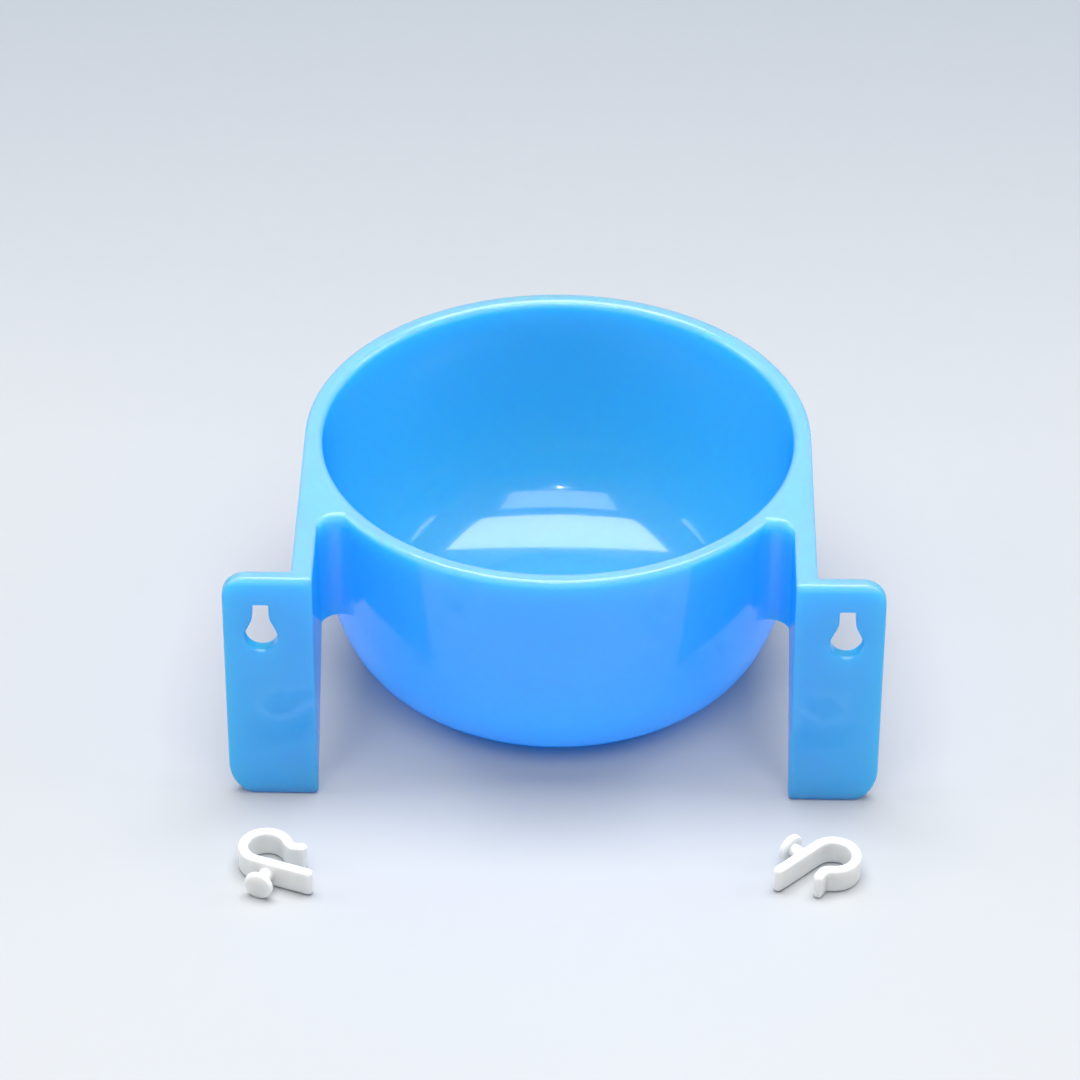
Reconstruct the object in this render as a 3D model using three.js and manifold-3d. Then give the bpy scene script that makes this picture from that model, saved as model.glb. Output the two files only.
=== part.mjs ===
// Coop cup for a wire cage: a one-piece moulded plastic cup on two side arms with keyhole
// flanges, and the two loose plastic hooks that fasten it to the wires.
// Millimetres, +Z up. Origin: centre of the cup's flat underside. The flanges face -Y.
import * as THREE from "three";
import { mergeVertices } from "three/addons/utils/BufferGeometryUtils.js";
import Module from "manifold-3d";

const wasm = await Module();
wasm.setup();

// ---- Cup ----
const CUP_HEIGHT = 49.6;
const RIM_RADIUS = 47.5; // outside of the rim
const RIM_OUTER_ROUND = 0.8;
const RIM_FLAT_INNER_RADIUS = 45.6; // where the flat top of the rim ends
const RIM_INNER_ROUND = 1.4;
const BASE_RADIUS = 25.5; // flat underside
const SHOULDER_RADIUS = 45.45; // outside, where the curved corner meets the straight wall
const SHOULDER_HEIGHT = 28;
const CORNER_PULL = 0.69; // how far a corner follows its two tangents; more is squarer
const FLOOR_EDGE_SLOPE = Math.tan(THREE.MathUtils.degToRad(15)); // where floor and corner meet
const FLOOR_THICKNESS = 2.4;
const WALL_THICKNESS = 2.5;
const FLOOR_RADIUS = 24.5; // flat inside floor

// ---- Flanges, arms and gussets ----
const FLANGE_FRONT = 47.5; // distance of the flanges' front plane from the cup's axis
const FLANGE_THICKNESS = 2.6;
const FLANGE_OUTER = 60; // half of the overall width
const FLANGE_INNER = 43.6;
const FLANGE_TOP_CORNER = 4.5;
const FLANGE_BOTTOM_CORNER_WIDE = 4.8;
const FLANGE_BOTTOM_CORNER_TALL = 7;
const FLANGE_INNER_CORNER = 1;
const FLANGE_BEVEL = 0.4;
const ARM_OUTER = RIM_RADIUS; // the arms run on tangent from the rim's sides
const ARM_INNER = 43.6;
const WEB_HEIGHT = 25.5; // from the rim down to the underside of arm and web
const WEB_END_RADIUS = 3.8; // rounded end of the slot between arm and cup
const WEB_SINK = 0.15; // how far the slot's round end dips into the cup's wall
const WEB_TAIL_LENGTH = 9; // how far the web runs on past the cup's middle
const WEB_TAIL_DEPTH = 3;
const GUSSET_FOOT = 3; // height at which the sloping gusset meets the flange

// ---- Keyholes ----
const KEYHOLE_X = 53.1;
const KEYHOLE_TOP_BELOW_FLANGE_TOP = 6.2;
const KEYHOLE_SLOT_WIDTH = 3;
const KEYHOLE_ROUND_RADIUS = 3;
const KEYHOLE_SLOT_TO_CENTRE = 7;
const KEYHOLE_SLOT_STRAIGHT = 2.3;

// ---- Hooks ----
const HOOK_THICKNESS = 1.8;
const HOOK_WIDTH = 5;
const HOOK_BEVEL = 0.35;
const HOOK_BAR_LENGTH = 10.2; // straight bar, from its free end to the curl
const CURL_RADIUS = 4.1; // middle of the strip
const CURL_SWEEP = THREE.MathUtils.degToRad(226);
const TIP_LEAD = 0.8; // short straight run between the curl and the tip's flare
const TIP_FLARE_RADIUS = 1.7;
const TIP_FLARE_SWEEP = THREE.MathUtils.degToRad(62);
const TIP_LENGTH = 1.1;
const STUD_FROM_FREE_END = 7.8;
const STUD_NECK_RADIUS = 1.3;
const STUD_NECK_LENGTH = 2.8;
const STUD_HEAD_RADIUS = 2.7;
const STUD_HEAD_THICKNESS = 1.2;
const STUD_HEAD_ROUND = 0.35;
// Each hook lies on its side on the surface in front of the cup.
const HOOK_RIGHT_X = 51.3;
const HOOK_RIGHT_Y = -68.8;
const HOOK_RIGHT_HEADING = THREE.MathUtils.degToRad(45.4);
const HOOK_LEFT_X = -51.9;
const HOOK_LEFT_Y = -68.4;
const HOOK_LEFT_HEADING = THREE.MathUtils.degToRad(159);

// ---- Fineness ----
const ROUND_SEGMENTS = 80;
const CORNER_SEGMENTS = 10;
const ROUND_STEPS = 2;
const CURVE_SEGMENTS = 6;
const WELD = 1e-4;
const OVERLAP = 0.6; // how far joined pieces reach into each other

const HALF_TURN = Math.PI;
const QUARTER_TURN = Math.PI / 2;

const cupPlastic = new THREE.MeshStandardMaterial({ color: 0x2f9cf2, roughness: 0.28, metalness: 0 });
const hookPlastic = new THREE.MeshStandardMaterial({ color: 0xe9e9e6, roughness: 0.42, metalness: 0 });

// A closed geometry as a solid for joining and cutting.
function toSolid(geometry) {
  const bare = new THREE.BufferGeometry();
  const loose = geometry.index ? geometry.toNonIndexed() : geometry;
  bare.setAttribute("position", loose.getAttribute("position"));
  const merged = mergeVertices(bare, WELD);
  return new wasm.Manifold(
    new wasm.Mesh({
      numProp: 3,
      vertProperties: merged.getAttribute("position").array,
      triVerts: new Uint32Array(merged.index.array),
    }),
  );
}

function toGeometry(solid) {
  const mesh = solid.getMesh();
  const geometry = new THREE.BufferGeometry();
  geometry.setAttribute("position", new THREE.BufferAttribute(mesh.vertProperties, mesh.numProp));
  geometry.setIndex(new THREE.BufferAttribute(mesh.triVerts, 1));
  return geometry;
}

// A profile of (radius, height) points turned about the Z axis.
function turned(profile, segments = ROUND_SEGMENTS) {
  return new THREE.LatheGeometry(profile, segments).rotateX(QUARTER_TURN);
}

// Points of a curved corner from a flat bottom up into a wall. It leaves the bottom with a slope
// and meets the wall with the wall's own lean, both given as a ratio.
function bowlCorner(flatRadius, wallRadius, bottom, top, slope, lean) {
  const wide = (wallRadius - flatRadius) * CORNER_PULL;
  const tall = (top - bottom) * CORNER_PULL;
  const curve = new THREE.CubicBezierCurve(
    new THREE.Vector2(flatRadius, bottom),
    new THREE.Vector2(flatRadius + wide, bottom + wide * slope),
    new THREE.Vector2(wallRadius - tall * lean, top - tall),
    new THREE.Vector2(wallRadius, top),
  );
  return curve.getPoints(CORNER_SEGMENTS);
}

// ---- Cup body: a solid bowl, cut later by its inside ----
function bowlOutside() {
  const profile = [new THREE.Vector2(0, 0)];
  const lean = (RIM_RADIUS - SHOULDER_RADIUS) / (CUP_HEIGHT - RIM_OUTER_ROUND - SHOULDER_HEIGHT);
  profile.push(...bowlCorner(BASE_RADIUS, SHOULDER_RADIUS, 0, SHOULDER_HEIGHT, 0, lean));
  for (let i = 0; i <= ROUND_STEPS; i++) {
    const angle = (QUARTER_TURN * i) / ROUND_STEPS;
    const radius = RIM_RADIUS - RIM_OUTER_ROUND * (1 - Math.cos(angle));
    const height = CUP_HEIGHT - RIM_OUTER_ROUND * (1 - Math.sin(angle));
    profile.push(new THREE.Vector2(radius, height));
  }
  profile.push(new THREE.Vector2(0, CUP_HEIGHT));
  return turned(profile);
}

function bowlInside() {
  const above = CUP_HEIGHT + OVERLAP;
  const wallRadius = RIM_FLAT_INNER_RADIUS - RIM_INNER_ROUND;
  const profile = [new THREE.Vector2(0, FLOOR_THICKNESS)];
  const shoulder = SHOULDER_RADIUS - WALL_THICKNESS;
  const lean = (wallRadius - shoulder) / (CUP_HEIGHT - RIM_INNER_ROUND - SHOULDER_HEIGHT);
  const bottom = FLOOR_THICKNESS;
  profile.push(...bowlCorner(FLOOR_RADIUS, shoulder, bottom, SHOULDER_HEIGHT, FLOOR_EDGE_SLOPE, lean));
  for (let i = 0; i <= ROUND_STEPS; i++) {
    const angle = (QUARTER_TURN * i) / ROUND_STEPS;
    const radius = wallRadius + RIM_INNER_ROUND * (1 - Math.cos(angle));
    const height = CUP_HEIGHT - RIM_INNER_ROUND * (1 - Math.sin(angle));
    profile.push(new THREE.Vector2(radius, height));
  }
  profile.push(new THREE.Vector2(RIM_FLAT_INNER_RADIUS, above));
  profile.push(new THREE.Vector2(0, above));
  return turned(profile);
}

// Plan of one arm with its web, right-hand side, where the cup's wall has the given radius: the
// arm's straight strip, the round that ends the slot between arm and cup, and the web that joins
// both to the wall.
function armPlan(wallRadius) {
  const back = -FLANGE_FRONT + FLANGE_THICKNESS - OVERLAP;
  const centreX = ARM_INNER - WEB_END_RADIUS;
  const centreY = slotEndCentre(wallRadius);
  const reach = Math.hypot(centreX, centreY);
  const towardAxis = Math.atan2(-centreY, -centreX);
  const inside = SHOULDER_RADIUS - WALL_THICKNESS - OVERLAP;
  const shape = new THREE.Shape();
  shape.moveTo(ARM_OUTER, 0);
  shape.lineTo(ARM_OUTER - WEB_TAIL_DEPTH, WEB_TAIL_LENGTH);
  shape.lineTo(inside - WEB_TAIL_DEPTH, 0);
  shape.lineTo((centreX * inside) / reach, (centreY * inside) / reach);
  shape.absarc(centreX, centreY, WEB_END_RADIUS, towardAxis, 0, true);
  shape.lineTo(ARM_INNER, back);
  shape.lineTo(ARM_OUTER, back);
  return shape.getPoints(CURVE_SEGMENTS);
}

// Distance of the slot's round end from the cup's middle: the round touches both arm and wall.
function slotEndCentre(wallRadius) {
  const reach = wallRadius - WEB_SINK + WEB_END_RADIUS;
  return -Math.sqrt(reach ** 2 - (ARM_INNER - WEB_END_RADIUS) ** 2);
}

// A closed geometry between two outlines with as many points each, one above the other.
function lofted(lower, upper, bottom, top) {
  const count = lower.length;
  const positions = [];
  for (const point of lower) positions.push(point.x, point.y, bottom);
  for (const point of upper) positions.push(point.x, point.y, top);
  const faces = [];
  for (const [a, b, c] of THREE.ShapeUtils.triangulateShape(lower, [])) faces.push(c, b, a);
  for (const [a, b, c] of THREE.ShapeUtils.triangulateShape(upper, [])) {
    faces.push(a + count, b + count, c + count);
  }
  for (let i = 0; i < count; i++) {
    const j = (i + 1) % count;
    faces.push(i, j, j + count, i, j + count, i + count);
  }
  const geometry = new THREE.BufferGeometry();
  geometry.setAttribute("position", new THREE.Float32BufferAttribute(positions, 3));
  geometry.setIndex(faces);
  return geometry;
}

// The cup narrows downward, so the slot's end leans back with the wall.
function armAndWeb() {
  const underArm = CUP_HEIGHT - WEB_HEIGHT;
  return lofted(armPlan(wallRadiusAt(underArm)), armPlan(RIM_RADIUS), underArm, CUP_HEIGHT);
}

// Outside radius of the cup's straight or gently curving wall at a height.
function wallRadiusAt(height) {
  const rise = (height - SHOULDER_HEIGHT) / (CUP_HEIGHT - RIM_OUTER_ROUND - SHOULDER_HEIGHT);
  return SHOULDER_RADIUS + (RIM_RADIUS - SHOULDER_RADIUS) * Math.min(rise, 1);
}

// Sloping stiffener under the arm: a plate in the arm's plane that narrows down to the flange.
function gusset() {
  const front = -FLANGE_FRONT + FLANGE_THICKNESS - OVERLAP;
  const underArm = CUP_HEIGHT - WEB_HEIGHT;
  const slotEnd = slotEndCentre(wallRadiusAt(underArm)) + WEB_END_RADIUS;
  const side = new THREE.Shape();
  side.moveTo(front, GUSSET_FOOT);
  side.lineTo(front + OVERLAP, GUSSET_FOOT);
  side.lineTo(slotEnd, underArm);
  side.lineTo(slotEnd, underArm + OVERLAP);
  side.lineTo(front, underArm + OVERLAP);
  side.closePath();
  const plate = new THREE.ExtrudeGeometry(side, {
    depth: ARM_OUTER - ARM_INNER,
    bevelEnabled: false,
  });
  // The side view lies in (y, z): turn it upright and into the arm's plane.
  return plate.rotateX(QUARTER_TURN).rotateZ(QUARTER_TURN).translate(ARM_INNER, 0, 0);
}

// Front view of the right-hand flange.
function flangeOutline() {
  const inner = FLANGE_INNER + FLANGE_BEVEL;
  const outer = FLANGE_OUTER - FLANGE_BEVEL;
  const bottom = FLANGE_BEVEL;
  const top = CUP_HEIGHT - FLANGE_BEVEL;
  const topCorner = FLANGE_TOP_CORNER - FLANGE_BEVEL;
  const wide = FLANGE_BOTTOM_CORNER_WIDE - FLANGE_BEVEL;
  const tall = FLANGE_BOTTOM_CORNER_TALL - FLANGE_BEVEL;
  const small = FLANGE_INNER_CORNER - FLANGE_BEVEL;
  const shape = new THREE.Shape();
  shape.moveTo(inner + small, bottom);
  shape.lineTo(outer - wide, bottom);
  shape.absellipse(outer - wide, bottom + tall, wide, tall, -QUARTER_TURN, 0, false, 0);
  shape.lineTo(outer, top - topCorner);
  shape.absarc(outer - topCorner, top - topCorner, topCorner, 0, QUARTER_TURN, false);
  shape.lineTo(inner, top);
  shape.lineTo(inner, bottom + small);
  shape.absarc(inner + small, bottom + small, small, HALF_TURN, HALF_TURN + QUARTER_TURN, false);
  return shape;
}

function flange() {
  const plate = new THREE.ExtrudeGeometry(flangeOutline(), {
    depth: FLANGE_THICKNESS - 2 * FLANGE_BEVEL,
    bevelEnabled: true,
    bevelThickness: FLANGE_BEVEL,
    bevelSize: FLANGE_BEVEL,
    bevelSegments: 2,
    curveSegments: CURVE_SEGMENTS,
  });
  // The front view lies in (x, z): stand it up with its front face on the flange plane.
  return plate.rotateX(QUARTER_TURN).translate(0, -FLANGE_FRONT + FLANGE_THICKNESS - FLANGE_BEVEL, 0);
}

// Keyhole: a narrow slot at the top that flares into a round hole below it.
function keyholeCutter() {
  const slotTop = CUP_HEIGHT - KEYHOLE_TOP_BELOW_FLANGE_TOP;
  const centreZ = slotTop - KEYHOLE_SLOT_TO_CENTRE;
  const half = KEYHOLE_SLOT_WIDTH / 2;
  const radius = KEYHOLE_ROUND_RADIUS;
  const flareTop = slotTop - KEYHOLE_SLOT_STRAIGHT;
  const shape = new THREE.Shape();
  shape.moveTo(KEYHOLE_X - half, slotTop);
  shape.lineTo(KEYHOLE_X - half, flareTop);
  shape.quadraticCurveTo(KEYHOLE_X - half, centreZ + radius, KEYHOLE_X - radius, centreZ);
  shape.absarc(KEYHOLE_X, centreZ, radius, HALF_TURN, 2 * HALF_TURN, false);
  shape.quadraticCurveTo(KEYHOLE_X + half, centreZ + radius, KEYHOLE_X + half, flareTop);
  shape.lineTo(KEYHOLE_X + half, slotTop);
  shape.closePath();
  const through = new THREE.ExtrudeGeometry(shape, {
    depth: FLANGE_THICKNESS + 2 * OVERLAP,
    bevelEnabled: false,
    curveSegments: 2 * CURVE_SEGMENTS,
  });
  return through.rotateX(QUARTER_TURN).translate(0, -FLANGE_FRONT + FLANGE_THICKNESS + OVERLAP, 0);
}

// The same geometry on the other side of the cup, with its faces turned to stay outward.
function mirrored(solid) {
  return solid.mirror([1, 0, 0]);
}

function cupGeometry() {
  const side = toSolid(armAndWeb())
    .add(toSolid(gusset()))
    .add(toSolid(flange()))
    .subtract(toSolid(keyholeCutter()));
  const whole = toSolid(bowlOutside()).add(side).add(mirrored(side));
  return toGeometry(whole.subtract(toSolid(bowlInside())));
}

// ---- Hook ----
// Middle line of the strip in the hook's own frame: the curl's centre is the origin, the bar
// runs along +X above it, and the stud stands on the bar's outer side, along +Y.
function hookLine() {
  const line = [];
  line.push(new THREE.Vector2(-HOOK_BAR_LENGTH, CURL_RADIUS));
  for (let i = 0; i <= 2 * CORNER_SEGMENTS; i++) {
    const angle = QUARTER_TURN - (CURL_SWEEP * i) / (2 * CORNER_SEGMENTS);
    line.push(new THREE.Vector2(CURL_RADIUS * Math.cos(angle), CURL_RADIUS * Math.sin(angle)));
  }
  let heading = -CURL_SWEEP;
  let end = line[line.length - 1].clone();
  end = end.add(new THREE.Vector2(Math.cos(heading), Math.sin(heading)).multiplyScalar(TIP_LEAD));
  line.push(end.clone());
  const flareStep = TIP_FLARE_SWEEP / CURVE_SEGMENTS;
  const chord = 2 * TIP_FLARE_RADIUS * Math.sin(flareStep / 2);
  for (let i = 0; i < CURVE_SEGMENTS; i++) {
    heading += flareStep / 2;
    end = end.add(new THREE.Vector2(Math.cos(heading), Math.sin(heading)).multiplyScalar(chord));
    line.push(end.clone());
    heading += flareStep / 2;
  }
  end = end.add(new THREE.Vector2(Math.cos(heading), Math.sin(heading)).multiplyScalar(TIP_LENGTH));
  line.push(end.clone());
  return line;
}

// Outline of a strip of even thickness along a line, with rounded ends.
function stripOutline(line, half) {
  const left = [];
  const right = [];
  for (let i = 0; i < line.length; i++) {
    const before = line[Math.max(i - 1, 0)];
    const after = line[Math.min(i + 1, line.length - 1)];
    const along = after.clone().sub(before).normalize();
    const across = new THREE.Vector2(-along.y, along.x).multiplyScalar(half);
    left.push(line[i].clone().add(across));
    right.push(line[i].clone().sub(across));
  }
  return [...right, ...endCap(line, half, true), ...left.reverse(), ...endCap(line, half, false)];
}

function endCap(line, half, atEnd) {
  const tip = atEnd ? line[line.length - 1] : line[0];
  const next = atEnd ? line[line.length - 2] : line[1];
  const outward = tip.clone().sub(next).normalize();
  const start = Math.atan2(outward.y, outward.x) - QUARTER_TURN;
  const cap = [];
  for (let i = 1; i < CURVE_SEGMENTS; i++) {
    const angle = start + (HALF_TURN * i) / CURVE_SEGMENTS;
    cap.push(new THREE.Vector2(tip.x + half * Math.cos(angle), tip.y + half * Math.sin(angle)));
  }
  return cap;
}

function hookStrip() {
  const outline = new THREE.Shape(stripOutline(hookLine(), HOOK_THICKNESS / 2 - HOOK_BEVEL));
  const strip = new THREE.ExtrudeGeometry(outline, {
    depth: HOOK_WIDTH - 2 * HOOK_BEVEL,
    bevelEnabled: true,
    bevelThickness: HOOK_BEVEL,
    bevelSize: HOOK_BEVEL,
    bevelSegments: 2,
  });
  return strip.translate(0, 0, HOOK_BEVEL - HOOK_WIDTH / 2);
}

function hookStud() {
  const headStart = OVERLAP + STUD_NECK_LENGTH;
  const headEnd = headStart + STUD_HEAD_THICKNESS;
  const profile = [
    new THREE.Vector2(0, 0),
    new THREE.Vector2(STUD_NECK_RADIUS, 0),
    new THREE.Vector2(STUD_NECK_RADIUS, headStart),
    new THREE.Vector2(STUD_HEAD_RADIUS - STUD_HEAD_ROUND, headStart),
    new THREE.Vector2(STUD_HEAD_RADIUS, headStart + STUD_HEAD_ROUND),
    new THREE.Vector2(STUD_HEAD_RADIUS, headEnd - STUD_HEAD_ROUND),
    new THREE.Vector2(STUD_HEAD_RADIUS - STUD_HEAD_ROUND, headEnd),
    new THREE.Vector2(0, headEnd),
  ];
  const stud = new THREE.LatheGeometry(profile, ROUND_SEGMENTS / 4);
  const face = CURL_RADIUS + HOOK_THICKNESS / 2;
  return stud.translate(STUD_FROM_FREE_END - HOOK_BAR_LENGTH, face - OVERLAP, 0);
}

function hookGeometry() {
  return toGeometry(toSolid(hookStrip()).add(toSolid(hookStud())));
}

// Lay a hook on its side. The stud's head is wider than the strip, so the hook rests on the
// head's edge and on the far side of the curl, and leans by the small angle between them.
function layHook(name, x, y, heading) {
  const span = 2 * CURL_RADIUS + HOOK_THICKNESS + STUD_NECK_LENGTH;
  const lean = Math.asin((STUD_HEAD_RADIUS - HOOK_WIDTH / 2) / span);
  const geometry = hookGeometry();
  geometry.rotateX(lean);
  geometry.rotateZ(heading);
  geometry.computeBoundingBox();
  geometry.translate(0, 0, -geometry.boundingBox.min.z);
  const mesh = new THREE.Mesh(geometry, hookPlastic.clone());
  mesh.name = name;
  mesh.position.set(x, y, 0);
  return mesh;
}

const part = new THREE.Group();
const cup = new THREE.Mesh(cupGeometry(), cupPlastic);
cup.name = "cup";
part.add(cup);
part.add(layHook("hook_left", HOOK_LEFT_X, HOOK_LEFT_Y, HOOK_LEFT_HEADING));
part.add(layHook("hook_right", HOOK_RIGHT_X, HOOK_RIGHT_Y, HOOK_RIGHT_HEADING));

export default part;
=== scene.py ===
import math

import bmesh
import bpy
from mathutils import Matrix, Vector


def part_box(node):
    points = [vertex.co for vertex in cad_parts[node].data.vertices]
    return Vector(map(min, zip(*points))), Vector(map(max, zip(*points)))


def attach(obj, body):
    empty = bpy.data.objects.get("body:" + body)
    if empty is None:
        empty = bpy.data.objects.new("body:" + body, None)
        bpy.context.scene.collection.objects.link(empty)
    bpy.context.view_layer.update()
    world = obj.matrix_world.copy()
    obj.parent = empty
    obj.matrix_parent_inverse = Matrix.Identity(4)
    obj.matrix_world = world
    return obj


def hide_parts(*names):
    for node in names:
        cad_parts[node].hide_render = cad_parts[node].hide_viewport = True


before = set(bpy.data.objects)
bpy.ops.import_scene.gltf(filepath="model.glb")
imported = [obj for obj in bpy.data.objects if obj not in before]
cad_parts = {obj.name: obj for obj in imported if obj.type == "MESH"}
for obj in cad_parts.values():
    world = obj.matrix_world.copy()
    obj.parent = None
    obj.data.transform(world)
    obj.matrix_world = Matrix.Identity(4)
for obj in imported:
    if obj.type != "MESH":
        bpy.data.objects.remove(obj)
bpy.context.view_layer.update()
CUP_LOW, CUP_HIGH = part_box("cup")
MM = 0.001
HALF_TURN = math.pi
QUARTER_TURN = math.pi / 2

# ---- Cup sizes: the outer ones come from the frame, the rest repeat the design ----
CUP_HEIGHT = CUP_HIGH.z
RIM_RADIUS = CUP_HIGH.y
RIM_OUTER_ROUND = 0.8 * MM
RIM_FLAT_INNER_RADIUS = RIM_RADIUS - 1.9 * MM
RIM_INNER_ROUND = 1.4 * MM
BASE_RADIUS = 25.5 * MM
SHOULDER_RADIUS = 45.45 * MM
SHOULDER_HEIGHT = 28 * MM
CORNER_PULL = 0.69  # how far a corner's curve follows its two tangents; 0.552 is an ellipse
FLOOR_EDGE_SLOPE = math.tan(math.radians(15))  # where floor and corner meet
FLOOR_THICKNESS = 2.4 * MM
WALL_THICKNESS = 2.5 * MM
FLOOR_RADIUS = 24.5 * MM
OUTER_LEAN = (RIM_RADIUS - SHOULDER_RADIUS) / (CUP_HEIGHT - RIM_OUTER_ROUND - SHOULDER_HEIGHT)

FLANGE_FRONT = -CUP_LOW.y
FLANGE_OUTER = CUP_HIGH.x
FLANGE_INNER = 43.6 * MM
FLANGE_THICKNESS = 2.6 * MM
FLANGE_TOP_CORNER = 4.5 * MM
FLANGE_BOTTOM_CORNER_WIDE = 4.8 * MM
FLANGE_BOTTOM_CORNER_TALL = 7 * MM
FLANGE_INNER_CORNER = 1 * MM
EDGE_ROUND = 0.6 * MM
RIM_HIGHLIGHT_DEPTH = 2 * MM  # how far down from the rim the painted highlight reaches: the plastic is painted paler there as if brightly lit from above
ARM_INNER = FLANGE_INNER
WEB_HEIGHT = 25.5 * MM
WEB_END_RADIUS = 3.8 * MM
WEB_SINK = 0.15 * MM
WEB_TAIL_LENGTH = 9 * MM
WEB_TAIL_DEPTH = 3 * MM
GUSSET_FOOT = 3 * MM

KEYHOLE_X = 53.1 * MM
KEYHOLE_TOP = CUP_HEIGHT - 6.2 * MM
KEYHOLE_SLOT_WIDTH = 3 * MM
KEYHOLE_ROUND_RADIUS = 3 * MM
KEYHOLE_SLOT_TO_CENTRE = 7 * MM
KEYHOLE_SLOT_STRAIGHT = 2.3 * MM
KEYHOLE_EDGE_ROUND = 0.3 * MM

# ---- Hook sizes ----
HOOK_THICKNESS = 1.8 * MM
HOOK_WIDTH = 5 * MM
HOOK_EDGE_ROUND = 0.45 * MM
HOOK_BAR_LENGTH = 10.2 * MM
CURL_RADIUS = 4.1 * MM
CURL_SWEEP = math.radians(226)
TIP_LEAD = 0.8 * MM
TIP_FLARE_RADIUS = 1.7 * MM
TIP_FLARE_SWEEP = math.radians(62)
TIP_LENGTH = 1.1 * MM
STUD_FROM_FREE_END = 7.8 * MM
STUD_NECK_RADIUS = 1.3 * MM
STUD_NECK_LENGTH = 2.8 * MM
STUD_NECK_FILLET = 0.5 * MM
STUD_HEAD_RADIUS = 2.7 * MM
STUD_HEAD_THICKNESS = 1.2 * MM
STUD_HEAD_ROUND = 0.4 * MM
HOOK_RIGHT_HEADING = math.radians(45.4)
HOOK_LEFT_HEADING = math.radians(159)

# ---- Fineness ----
TURN_SEGMENTS = 256
CORNER_STEPS = 28
ROUND_STEPS = 8
SLOT_CORNER_STEPS = 4
HOLE_EDGE_STEPS = 3
WALL_STEPS = 10
BAR_STEPS = 6
WEB_LAYERS = 12
OVERLAP = 0.4 * MM  # how far joined shapes reach into each other
WELD = 0.003 * MM  # points closer than this are one
ON_AXIS = 1e-9
ROUNDED_ANGLE = math.radians(35)  # edges sharper than this get rounded
SMOOTH_ANGLE = math.radians(28)  # edges sharper than this stay crisp
FLAT_FACE_WEIGHT = 60

# ---- Colours ----
AZURE = (0.11, 0.54, 0.985)
AZURE_LIGHTER = (0.12, 0.56, 0.99)
# painted highlight: the paler colour painted on the top of the cup, where the rim is brightly lit
# from above
AZURE_RIM_HIGHLIGHT = (0.33, 0.70, 0.99)
AZURE_THROUGH = (0.05, 0.62, 1.0)
WHITE = (0.66, 0.67, 0.66)
WHITE_LIGHTER = (0.71, 0.72, 0.71)
TABLE = (0.385, 0.40, 0.415)
TABLE_LIGHTER = (0.40, 0.413, 0.425)
# painted shade: the darker colour the table fades to toward the back
TABLE_BACK_SHADE = (0.305, 0.332, 0.365)

# ---- Light ----
LIGHT_BOUNCES = 16  # a translucent cup passes light on many times

# ---- Camera ----
CAMERA_TARGET = Vector((-2.86, -27.5, 44.44)) * MM
CAMERA_DISTANCE = 0.879
CAMERA_DOWN = math.radians(36.098)
CAMERA_TURN = math.radians(0.993)
CAMERA_ROLL = math.radians(0.129)
CAMERA_LENS = 159.5
CAMERA_SENSOR = 36


# ---- Mesh helpers ----
def linked(name, mesh):
    piece = bpy.data.objects.new(name, mesh)
    bpy.context.scene.collection.objects.link(piece)
    return piece


def from_bmesh(name, shape):
    bmesh.ops.recalc_face_normals(shape, faces=shape.faces)
    mesh = bpy.data.meshes.new(name)
    shape.to_mesh(mesh)
    shape.free()
    return linked(name, mesh)


def applied(piece):
    """The piece with its modifiers made part of its mesh."""
    graph = bpy.context.evaluated_depsgraph_get()
    mesh = bpy.data.meshes.new_from_object(piece.evaluated_get(graph))
    piece.modifiers.clear()
    piece.data = mesh
    return piece


def rounded(piece, width, segments=3):
    bevel = piece.modifiers.new("round", "BEVEL")
    bevel.width = width
    bevel.segments = segments
    bevel.limit_method = "ANGLE"
    bevel.angle_limit = ROUNDED_ANGLE
    bevel.use_clamp_overlap = True
    return applied(piece)


def combined(piece, other, operation):
    """The piece joined to, or cut by, another one, which is used up."""
    boolean = piece.modifiers.new(operation.lower(), "BOOLEAN")
    boolean.operation = operation
    boolean.solver = "EXACT"
    boolean.object = other
    applied(piece)
    bpy.data.objects.remove(other)
    return piece


def cleaned(piece):
    """The piece without the doubled points and faces without area that joining can leave."""
    shape = bmesh.new()
    shape.from_mesh(piece.data)
    bmesh.ops.remove_doubles(shape, verts=shape.verts, dist=WELD)
    bmesh.ops.dissolve_degenerate(shape, edges=shape.edges, dist=WELD)
    bmesh.ops.triangulate(shape, faces=[face for face in shape.faces if len(face.verts) > 4])
    bmesh.ops.dissolve_degenerate(shape, edges=shape.edges, dist=WELD)
    shape.to_mesh(piece.data)
    shape.free()
    return piece


def turned(name, profile, segments=TURN_SEGMENTS):
    """A closed solid of revolution from (radius, height) points that start and end on the axis."""
    shape = bmesh.new()
    rings = []
    for radius, height in profile:
        if radius < ON_AXIS:
            rings.append([shape.verts.new((0, 0, height))])
            continue
        ring = []
        for i in range(segments):
            angle = 2 * math.pi * i / segments
            ring.append(shape.verts.new((radius * math.cos(angle), radius * math.sin(angle), height)))
        rings.append(ring)
    for lower, upper in zip(rings, rings[1:]):
        for i in range(segments):
            j = (i + 1) % segments
            corners = [lower[i % len(lower)], lower[j % len(lower)]]
            corners += [upper[j % len(upper)], upper[i % len(upper)]]
            shape.faces.new(list(dict.fromkeys(corners)))
    return from_bmesh(name, shape)


def lofted(name, layers):
    """A closed solid through layers of points, each layer a closed outline with as many points."""
    shape = bmesh.new()
    loops = [[shape.verts.new(point) for point in layer] for layer in layers]
    for lower, upper in zip(loops, loops[1:]):
        for i in range(len(lower)):
            j = (i + 1) % len(lower)
            shape.faces.new((lower[i], lower[j], upper[j], upper[i]))
    shape.faces.new(loops[0])
    shape.faces.new(loops[-1])
    return from_bmesh(name, shape)


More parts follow.
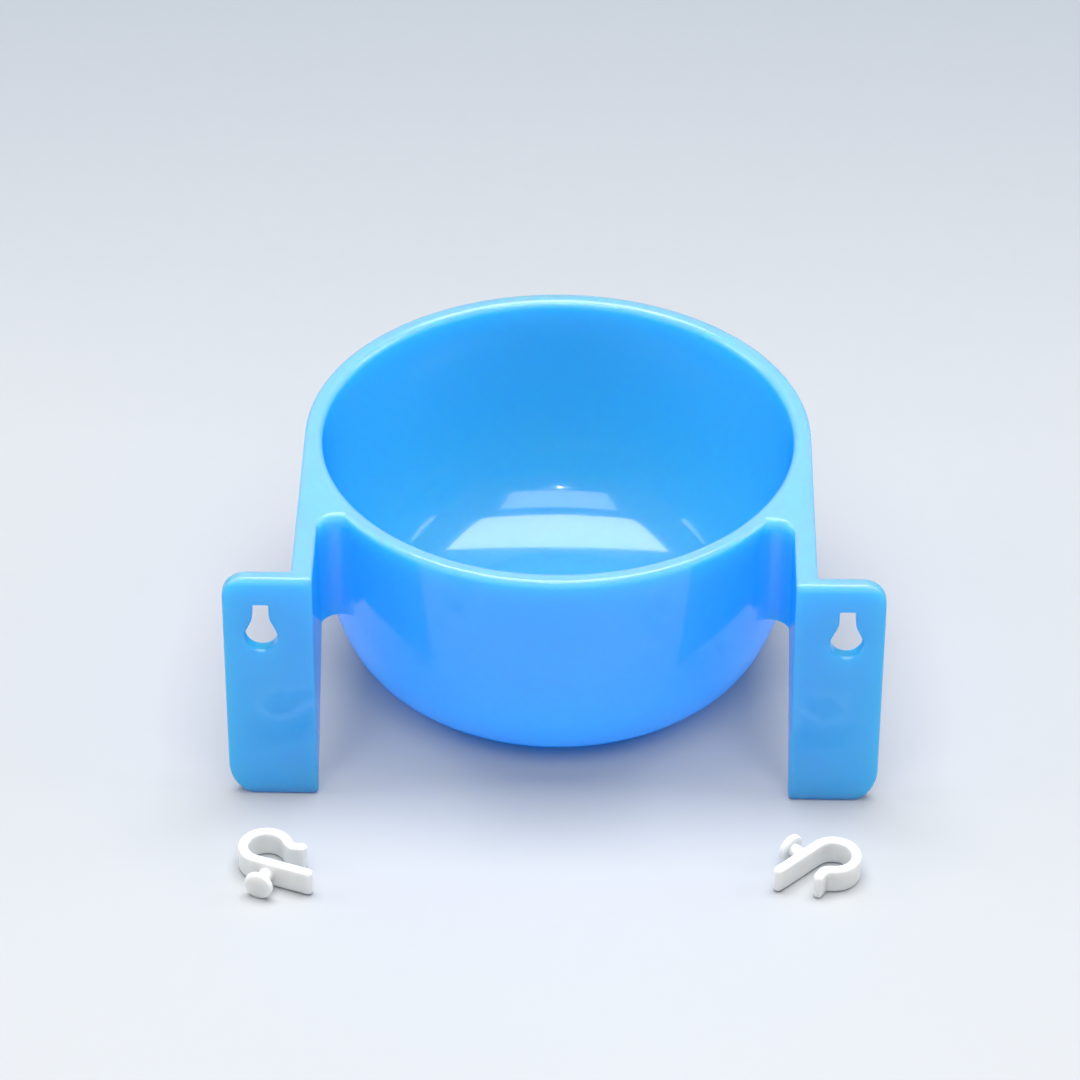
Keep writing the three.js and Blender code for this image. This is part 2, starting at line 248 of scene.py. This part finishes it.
def arc(centre_x, centre_y, radius, start, end, steps, tall=None):
    """Points of a round or, with tall given, elliptical arc, both ends included."""
    tall = radius if tall is None else tall
    points = []
    for i in range(steps + 1):
        angle = start + (end - start) * i / steps
        points.append((centre_x + radius * math.cos(angle), centre_y + tall * math.sin(angle)))
    return points


def bezier(start, pull_start, pull_end, end, steps):
    points = []
    for i in range(steps + 1):
        t = i / steps
        weights = ((1 - t) ** 3, 3 * t * (1 - t) ** 2, 3 * t * t * (1 - t), t ** 3)
        knots = (start, pull_start, pull_end, end)
        points.append(tuple(sum(w * k[axis] for w, k in zip(weights, knots)) for axis in (0, 1)))
    return points


def between(start, end, steps):
    """Points of a straight line, its first end left out."""
    return [tuple(a + (b - a) * i / steps for a, b in zip(start, end)) for i in range(1, steps + 1)]


def mirrored(piece):
    """A copy on the other side of the cup."""
    copy = linked(piece.name + "_mirrored", piece.data.copy())
    copy.data.transform(Matrix.Scale(-1, 4, (1, 0, 0)))
    copy.data.flip_normals()
    return copy


def smooth(piece):
    """Smooth shading with crisp creases, and flat faces that stay flat beside their rounded edges."""
    piece.data.shade_smooth()
    piece.data.set_sharp_from_angle(angle=SMOOTH_ANGLE)
    weighted = piece.modifiers.new("weighted", "WEIGHTED_NORMAL")
    weighted.keep_sharp = True
    weighted.weight = FLAT_FACE_WEIGHT
    return applied(piece)


# ---- Cup ----
def corner_profile(flat_radius, bottom, wall_radius, top, slope, lean):
    """The curved corner from the flat bottom up into the wall, which leans out by lean per height."""
    wide = (wall_radius - flat_radius) * CORNER_PULL
    tall = (top - bottom) * CORNER_PULL
    start = (flat_radius, bottom)
    end = (wall_radius, top)
    return bezier(
        start,
        (flat_radius + wide, bottom + wide * slope),
        (wall_radius - lean * tall, top - tall),
        end,
        CORNER_STEPS,
    )


def outer_profile():
    profile = [(0, 0), (BASE_RADIUS / 2, 0)]
    profile += corner_profile(BASE_RADIUS, 0, SHOULDER_RADIUS, SHOULDER_HEIGHT, 0, OUTER_LEAN)
    top = (RIM_RADIUS, CUP_HEIGHT - RIM_OUTER_ROUND)
    profile += between(profile[-1], top, WALL_STEPS)
    round_centre = (RIM_RADIUS - RIM_OUTER_ROUND, CUP_HEIGHT - RIM_OUTER_ROUND)
    profile += arc(*round_centre, RIM_OUTER_ROUND, 0, QUARTER_TURN, ROUND_STEPS)[1:]
    profile += [(RIM_RADIUS / 2, CUP_HEIGHT), (0, CUP_HEIGHT)]
    return profile


def inner_profile():
    shoulder = SHOULDER_RADIUS - WALL_THICKNESS
    wall_top = RIM_FLAT_INNER_RADIUS - RIM_INNER_ROUND
    lean = (wall_top - shoulder) / (CUP_HEIGHT - RIM_INNER_ROUND - SHOULDER_HEIGHT)
    profile = [(0, FLOOR_THICKNESS), (FLOOR_RADIUS / 2, FLOOR_THICKNESS)]
    bottom = FLOOR_THICKNESS
    profile += corner_profile(FLOOR_RADIUS, bottom, shoulder, SHOULDER_HEIGHT, FLOOR_EDGE_SLOPE, lean)
    profile += between(profile[-1], (wall_top, CUP_HEIGHT - RIM_INNER_ROUND), WALL_STEPS)
    round_centre = (RIM_FLAT_INNER_RADIUS, CUP_HEIGHT - RIM_INNER_ROUND)
    profile += arc(*round_centre, RIM_INNER_ROUND, HALF_TURN, QUARTER_TURN, ROUND_STEPS)[1:]
    above = CUP_HEIGHT + OVERLAP
    profile += [(RIM_FLAT_INNER_RADIUS, above), (0, above)]
    return profile


def outer_radius_at(height):
    """Radius of the cup's outside at a height on its wall or curved corner."""
    profile = outer_profile()
    for (r0, z0), (r1, z1) in zip(profile, profile[1:]):
        if z0 <= height <= z1 and z1 > z0:
            return r0 + (r1 - r0) * (height - z0) / (z1 - z0)
    return RIM_RADIUS


def arm_plan(height):
    """Plan of the right arm and its web: one round that touches arm and wall ends the slot."""
    centre_x = ARM_INNER - WEB_END_RADIUS
    reach = outer_radius_at(height) - WEB_SINK + WEB_END_RADIUS
    centre_y = -math.sqrt(reach ** 2 - centre_x ** 2)
    toward_axis = math.atan2(-centre_y, -centre_x)
    inside = SHOULDER_RADIUS - WALL_THICKNESS - OVERLAP
    plan = [
        (RIM_RADIUS, 0),
        (RIM_RADIUS - WEB_TAIL_DEPTH, WEB_TAIL_LENGTH),
        (inside - WEB_TAIL_DEPTH, 0),
        (centre_x * inside / reach, centre_y * inside / reach),
    ]
    plan += arc(centre_x, centre_y, WEB_END_RADIUS, toward_axis, 0, 2 * ROUND_STEPS)
    front = -FLANGE_FRONT + EDGE_ROUND
    plan += [(ARM_INNER, front), (RIM_RADIUS, front)]
    return plan


def arm_and_web():
    layers = []
    for i in range(WEB_LAYERS + 1):
        height = CUP_HEIGHT - WEB_HEIGHT + WEB_HEIGHT * i / WEB_LAYERS
        layers.append([(x, y, height) for x, y in arm_plan(height)])
    return rounded(lofted("arm", layers), EDGE_ROUND)


def gusset():
    """The sloping stiffener under the arm, which narrows down to the flange."""
    front = -FLANGE_FRONT + EDGE_ROUND
    under_arm = CUP_HEIGHT - WEB_HEIGHT
    slot_end = max(y for x, y in arm_plan(under_arm) if x > ARM_INNER - WEB_END_RADIUS and y < 0)
    side = [
        (front, GUSSET_FOOT),
        (front + FLANGE_THICKNESS - EDGE_ROUND, GUSSET_FOOT),
        (slot_end, under_arm),
        (slot_end, under_arm + 2 * EDGE_ROUND),
        (front, under_arm + 2 * EDGE_ROUND),
    ]
    layers = [[(x, y, z) for y, z in side] for x in (ARM_INNER, RIM_RADIUS)]
    return rounded(lofted("gusset", layers), EDGE_ROUND / 2)


def flange_outline():
    outer, inner, top = FLANGE_OUTER, FLANGE_INNER, CUP_HEIGHT
    wide, tall = FLANGE_BOTTOM_CORNER_WIDE, FLANGE_BOTTOM_CORNER_TALL
    small = FLANGE_INNER_CORNER
    outline = arc(outer - wide, tall, wide, -QUARTER_TURN, 0, 2 * ROUND_STEPS, tall)
    corner = FLANGE_TOP_CORNER
    outline += arc(outer - corner, top - corner, corner, 0, QUARTER_TURN, 2 * ROUND_STEPS)
    outline += [(inner, top)]
    outline += arc(inner + small, small, small, HALF_TURN, HALF_TURN + QUARTER_TURN, ROUND_STEPS)
    return outline


def flange():
    layers = []
    for y in (-FLANGE_FRONT, -FLANGE_FRONT + FLANGE_THICKNESS):
        layers.append([(x, y, z) for x, z in flange_outline()])
    return rounded(lofted("flange", layers), EDGE_ROUND, 4)


def keyhole_outline(grow):
    """A narrow slot that flares into a round hole below it, made larger all round by grow."""
    half = KEYHOLE_SLOT_WIDTH / 2 + grow
    radius = KEYHOLE_ROUND_RADIUS + grow
    slot_top = KEYHOLE_TOP + grow
    centre = KEYHOLE_TOP - KEYHOLE_SLOT_TO_CENTRE
    flare_top = KEYHOLE_TOP - KEYHOLE_SLOT_STRAIGHT
    pull = (centre + flare_top) / 2 + radius / 4
    x = KEYHOLE_X
    right_flare = (
        (x + radius, centre),
        (x + radius, centre + radius / 2),
        (x + half, pull),
        (x + half, flare_top),
    )
    left_flare = (
        (x - half, flare_top),
        (x - half, pull),
        (x - radius, centre + radius / 2),
        (x - radius, centre),
    )
    corner = KEYHOLE_EDGE_ROUND
    steps = SLOT_CORNER_STEPS
    outline = arc(x, centre, radius, HALF_TURN, 2 * HALF_TURN, 3 * ROUND_STEPS)
    outline += bezier(*right_flare, ROUND_STEPS)[1:]
    outline += arc(x + half - corner, slot_top - corner, corner, 0, QUARTER_TURN, steps)
    outline += arc(x - half + corner, slot_top - corner, corner, QUARTER_TURN, HALF_TURN, steps)
    outline += bezier(*left_flare, ROUND_STEPS)[:-1]
    return outline


def keyhole_cutter():
    """Cuts through the flange and rounds the hole's two edges."""
    front = -FLANGE_FRONT
    back = front + FLANGE_THICKNESS
    edge = KEYHOLE_EDGE_ROUND
    stations = [(front - OVERLAP, edge)]
    for i in range(HOLE_EDGE_STEPS + 1):
        angle = QUARTER_TURN * i / HOLE_EDGE_STEPS
        stations.append((front + edge * math.sin(angle), edge * (1 - math.sin(angle))))
    for i in range(HOLE_EDGE_STEPS + 1):
        angle = QUARTER_TURN * i / HOLE_EDGE_STEPS
        stations.append((back - edge * math.cos(angle), edge * (1 - math.cos(angle))))
    stations.append((back + OVERLAP, edge))
    layers = [[(x, y, z) for x, z in keyhole_outline(grow)] for y, grow in stations]
    return lofted("keyhole", layers)


def cup_piece():
    side = combined(arm_and_web(), gusset(), "UNION")
    side = combined(side, flange(), "UNION")
    side = combined(side, keyhole_cutter(), "DIFFERENCE")
    cup = turned("feed_cup", outer_profile())
    cup = combined(cup, mirrored(side), "UNION")
    cup = combined(cup, side, "UNION")
    cup = combined(cup, turned("inside", inner_profile()), "DIFFERENCE")
    return smooth(cleaned(cup))


# ---- Hooks ----
def hook_line():
    """Middle line of the strip: the curl's centre is the origin and the bar runs along X above it."""
    line = [(-HOOK_BAR_LENGTH, CURL_RADIUS)]
    line += between(line[0], (0, CURL_RADIUS), BAR_STEPS)
    line += arc(0, 0, CURL_RADIUS, QUARTER_TURN, QUARTER_TURN - CURL_SWEEP, 4 * WALL_STEPS)[1:]
    heading = -CURL_SWEEP
    steps = [(TIP_LEAD, 0)]
    flare_step = TIP_FLARE_SWEEP / ROUND_STEPS
    steps += [(2 * TIP_FLARE_RADIUS * math.sin(flare_step / 2), flare_step)] * ROUND_STEPS
    steps += [(TIP_LENGTH, 0)]
    for length, turn in steps:
        heading += turn / 2
        x, y = line[-1]
        line.append((x + length * math.cos(heading), y + length * math.sin(heading)))
        heading += turn / 2
    return [Vector(point) for point in line]


def strip_outline(line, half):
    """Outline of a strip of even thickness along a line, with rounded ends."""
    left, right = [], []
    for i, point in enumerate(line):
        along = (line[min(i + 1, len(line) - 1)] - line[max(i - 1, 0)]).normalized()
        across = Vector((-along.y, along.x)) * half
        left.append(point + across)
        right.append(point - across)
    caps = []
    for tip, next_point in ((line[-1], line[-2]), (line[0], line[1])):
        outward = tip - next_point
        start = math.atan2(outward.y, outward.x) - QUARTER_TURN
        caps.append(arc(tip.x, tip.y, half, start, start + HALF_TURN, ROUND_STEPS)[1:-1])
    return right + caps[0] + left[::-1] + caps[1]


def hook_strip():
    outline = strip_outline(hook_line(), HOOK_THICKNESS / 2)
    layers = [[(p[0], p[1], z) for p in outline] for z in (-HOOK_WIDTH / 2, HOOK_WIDTH / 2)]
    return rounded(lofted("hook", layers), HOOK_EDGE_ROUND, 4)


def hook_stud():
    """A round-headed stud with a fillet where its neck meets the bar."""
    neck, head, edge, fillet = STUD_NECK_RADIUS, STUD_HEAD_RADIUS, STUD_HEAD_ROUND, STUD_NECK_FILLET
    head_start = STUD_NECK_LENGTH
    head_end = head_start + STUD_HEAD_THICKNESS
    profile = [(0, -OVERLAP), (neck + fillet, -OVERLAP)]
    profile += arc(neck + fillet, fillet, fillet, -QUARTER_TURN, -HALF_TURN, ROUND_STEPS)
    profile += [(neck, head_start)]
    profile += arc(head - edge, head_start + edge, edge, -QUARTER_TURN, 0, ROUND_STEPS)
    profile += arc(head - edge, head_end - edge, edge, 0, QUARTER_TURN, ROUND_STEPS)
    profile += [(0, head_end)]
    stud = turned("stud", profile, TURN_SEGMENTS // 4)
    stand = Matrix.Rotation(-QUARTER_TURN, 4, "X")
    face = CURL_RADIUS + HOOK_THICKNESS / 2
    stud.data.transform(Matrix.Translation((STUD_FROM_FREE_END - HOOK_BAR_LENGTH, face, 0)) @ stand)
    return stud


def hook_piece(name, node, heading):
    """A hook on its side, in its CAD solid's place, resting on its stud's head and its curl."""
    hook = smooth(cleaned(combined(hook_strip(), hook_stud(), "UNION")))
    hook.name = name
    span = 2 * CURL_RADIUS + HOOK_THICKNESS + STUD_NECK_LENGTH
    lean = math.asin((STUD_HEAD_RADIUS - HOOK_WIDTH / 2) / span)
    hook.data.transform(Matrix.Rotation(heading, 4, "Z") @ Matrix.Rotation(lean, 4, "X"))
    low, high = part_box(node)
    corners = [Vector(corner) for corner in hook.bound_box]
    mine_low = Vector([min(c[i] for c in corners) for i in range(3)])
    mine_high = Vector([max(c[i] for c in corners) for i in range(3)])
    shift = (low + high - mine_low - mine_high) / 2
    shift.z = low.z - mine_low.z
    hook.data.transform(Matrix.Translation(shift))
    return hook


# ---- Materials ----
class Nodes:
    """Short names for building a material's nodes."""

    def __init__(self, name):
        self.material = bpy.data.materials.new(name)
        self.material.use_nodes = True
        self.tree = self.material.node_tree
        self.shader = self.tree.nodes["Principled BSDF"]
        self.place = self.tree.nodes.new("ShaderNodeTexCoord").outputs["Object"]

    def noise(self, scale, detail):
        noise = self.tree.nodes.new("ShaderNodeTexNoise")
        noise.inputs["Scale"].default_value = scale
        noise.inputs["Detail"].default_value = detail
        self.tree.links.new(self.place, noise.inputs["Vector"])
        return noise.outputs["Fac"]

    def ranged(self, value, low, high):
        remap = self.tree.nodes.new("ShaderNodeMapRange")
        remap.inputs["From Min"].default_value = 0.3
        remap.inputs["From Max"].default_value = 0.7
        remap.inputs["To Min"].default_value = low
        remap.inputs["To Max"].default_value = high
        self.tree.links.new(value, remap.inputs["Value"])
        return remap.outputs["Result"]

    def mixed(self, value, first, second):
        return self.blended(self.ranged(value, 0, 1), first, second)

    def bumped(self, value, distance, before=None):
        bump = self.tree.nodes.new("ShaderNodeBump")
        bump.inputs["Distance"].default_value = distance
        self.tree.links.new(value, bump.inputs["Height"])
        if before is not None:
            self.tree.links.new(before, bump.inputs["Normal"])
        return bump.outputs["Normal"]

    def rising(self, axis, low, high):
        """0 before the low value of an axis, 1 past the high one."""
        apart = self.tree.nodes.new("ShaderNodeSeparateXYZ")
        self.tree.links.new(self.place, apart.inputs["Vector"])
        remap = self.tree.nodes.new("ShaderNodeMapRange")
        remap.interpolation_type = "SMOOTHSTEP"
        remap.inputs["From Min"].default_value = low
        remap.inputs["From Max"].default_value = high
        self.tree.links.new(apart.outputs[axis], remap.inputs["Value"])
        return remap.outputs["Result"]

    def blended(self, factor, first, second):
        """Two colours, or a colour socket and a colour, mixed by a factor socket."""
        mix = self.tree.nodes.new("ShaderNodeMix")
        mix.data_type = "RGBA"
        for name, colour in (("A", first), ("B", second)):
            if isinstance(colour, bpy.types.NodeSocket):
                self.tree.links.new(colour, mix.inputs[name])
            else:
                mix.inputs[name].default_value = (*colour, 1)
        self.tree.links.new(factor, mix.inputs["Factor"])
        return mix.outputs["Result"]

    def glowing_through(self, share, colour):
        """Let a share of the light pass through the walls, taking on a colour."""
        passing = self.tree.nodes.new("ShaderNodeBsdfTranslucent")
        passing.inputs["Color"].default_value = (*colour, 1)
        mix = self.tree.nodes.new("ShaderNodeMixShader")
        mix.inputs["Fac"].default_value = share
        self.tree.links.new(self.shader.outputs["BSDF"], mix.inputs[1])
        self.tree.links.new(passing.outputs["BSDF"], mix.inputs[2])
        output = self.tree.nodes["Material Output"]
        self.tree.links.new(mix.outputs["Shader"], output.inputs["Surface"])

    def set(self, **sockets):
        for name, value in sockets.items():
            socket = self.shader.inputs[name.replace("_", " ")]
            if isinstance(value, bpy.types.NodeSocket):
                self.tree.links.new(value, socket)
            else:
                socket.default_value = value
        return self.material


def azure_plastic():
    """Glossy, translucent moulded plastic: faint flow marks, a fine grain, and a painted highlight
    that makes the top of the cup near the rim paler.
    """
    nodes = Nodes("azure_moulded_plastic")
    cloud = nodes.noise(28, 3)
    grain = nodes.noise(1400, 2)
    wave = nodes.noise(60, 1)
    azure = nodes.mixed(cloud, AZURE, AZURE_LIGHTER)
    # painted highlight: the top of the cup near the rim is painted paler, as if brightly lit from
    # above
    rim = nodes.rising("Z", CUP_HEIGHT - RIM_HIGHLIGHT_DEPTH, CUP_HEIGHT - RIM_HIGHLIGHT_DEPTH / 4)
    nodes.glowing_through(0.5, AZURE_THROUGH)
    return nodes.set(
        Base_Color=nodes.blended(rim, azure, AZURE_RIM_HIGHLIGHT),
        Roughness=nodes.ranged(nodes.noise(90, 4), 0.14, 0.2),
        Normal=nodes.bumped(grain, 0.004 * MM, nodes.bumped(wave, 0.05 * MM)),
        IOR=1.55,
        Subsurface_Weight=1.0,
        Subsurface_Radius=(0.1, 0.4, 1.0),
        Subsurface_Scale=25 * MM,
        Coat_Weight=1.0,
        Coat_Roughness=0.05,
    )


def white_plastic():
    """Satin white plastic with a soft grain and faint uneven tint."""
    nodes = Nodes("white_moulded_plastic")
    cloud = nodes.noise(220, 3)
    grain = nodes.noise(2600, 3)
    return nodes.set(
        Base_Color=nodes.mixed(cloud, WHITE, WHITE_LIGHTER),
        Roughness=nodes.ranged(nodes.noise(600, 3), 0.32, 0.44),
        Normal=nodes.bumped(grain, 0.01 * MM),
        Subsurface_Weight=1.0,
        Subsurface_Radius=(1.0, 0.9, 0.8),
        Subsurface_Scale=2.5 * MM,
    )


def table_surface():
    """A pale matt sweep with painted shade: its colour darkens a little toward the back, where less
    light falls.
    """
    nodes = Nodes("table_surface")
    pale = nodes.mixed(nodes.noise(4, 3), TABLE, TABLE_LIGHTER)
    return nodes.set(
        # painted shade: the table's colour darkens toward the back as if less light reached it
        Base_Color=nodes.blended(nodes.rising("Y", 0.0, 0.3), pale, TABLE_BACK_SHADE),
        Roughness=nodes.ranged(nodes.noise(300, 2), 0.5, 0.6),
    )


# ---- Studio ----
def floor():
    size = 6.0
    depth = 0.1 * MM
    mesh = bpy.data.meshes.new("floor")
    signs = ((-1, -1), (1, -1), (1, 1), (-1, 1))
    corners = [(x * size, y * size, -depth) for x, y in signs]
    mesh.from_pydata(corners, [], [(0, 1, 2, 3)])
    plane = linked("floor", mesh)
    plane.data.materials.append(table_surface())


def softbox(name, place, aim, width, tall, power):
    light = bpy.data.lights.new(name, "AREA")
    light.shape = "RECTANGLE"
    light.size = width
    light.size_y = tall
    light.energy = power
    lamp = bpy.data.objects.new(name, light)
    lamp.location = place
    lamp.rotation_euler = (Vector(aim) - Vector(place)).to_track_quat("-Z", "Y").to_euler()
    bpy.context.scene.collection.objects.link(lamp)


def studio():
    world = bpy.data.worlds.new("studio")
    world.use_nodes = True
    background = world.node_tree.nodes["Background"]
    background.inputs["Color"].default_value = (0.83, 0.88, 1.0, 1)
    background.inputs["Strength"].default_value = 0.3
    bpy.context.scene.world = world
    bpy.context.scene.view_settings.view_transform = "Standard"
    bpy.context.scene.cycles.max_bounces = LIGHT_BOUNCES
    bpy.context.scene.cycles.diffuse_bounces = LIGHT_BOUNCES
    centre = (0, 0, CUP_HEIGHT / 2)
    softbox("overhead", (0, 0.13, 1.1), centre, width=1.1, tall=0.56, power=18)
    softbox("fill", (0, -0.55, 0.95), centre, width=0.9, tall=0.5, power=6)
    softbox("left_side", (-0.9, 0.1, 0.45), centre, width=0.5, tall=0.4, power=2.5)
    softbox("right_side", (0.9, 0.1, 0.45), centre, width=0.5, tall=0.4, power=2.5)
    softbox("lamp", (-0.009, -0.753, 0.69), centre, width=0.03, tall=0.03, power=0.6)


def camera():
    data = bpy.data.cameras.new("camera")
    data.lens = CAMERA_LENS
    data.sensor_width = CAMERA_SENSOR
    data.clip_start = 0.01
    data.clip_end = 50
    lens = bpy.data.objects.new("camera", data)
    turn = Matrix.Rotation(CAMERA_TURN, 4, "Z") @ Matrix.Rotation(QUARTER_TURN - CAMERA_DOWN, 4, "X")
    facing = turn @ Matrix.Rotation(CAMERA_ROLL, 4, "Z")
    back = turn @ Vector((0, 0, 1))
    lens.matrix_world = Matrix.Translation(CAMERA_TARGET + back * CAMERA_DISTANCE) @ facing
    bpy.context.scene.collection.objects.link(lens)
    bpy.context.scene.camera = lens


# ---- Scene ----
camera()
studio()
floor()

cup = cup_piece()
cup.data.materials.append(azure_plastic())
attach(cup, "cup")
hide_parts("cup")

white = white_plastic()
for side, heading in (("left", HOOK_LEFT_HEADING), ("right", HOOK_RIGHT_HEADING)):
    hook = hook_piece(f"wire_hook_{side}", f"hook_{side}", heading)
    hook.data.materials.append(white)
    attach(hook, f"hook_{side}")
    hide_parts(f"hook_{side}")
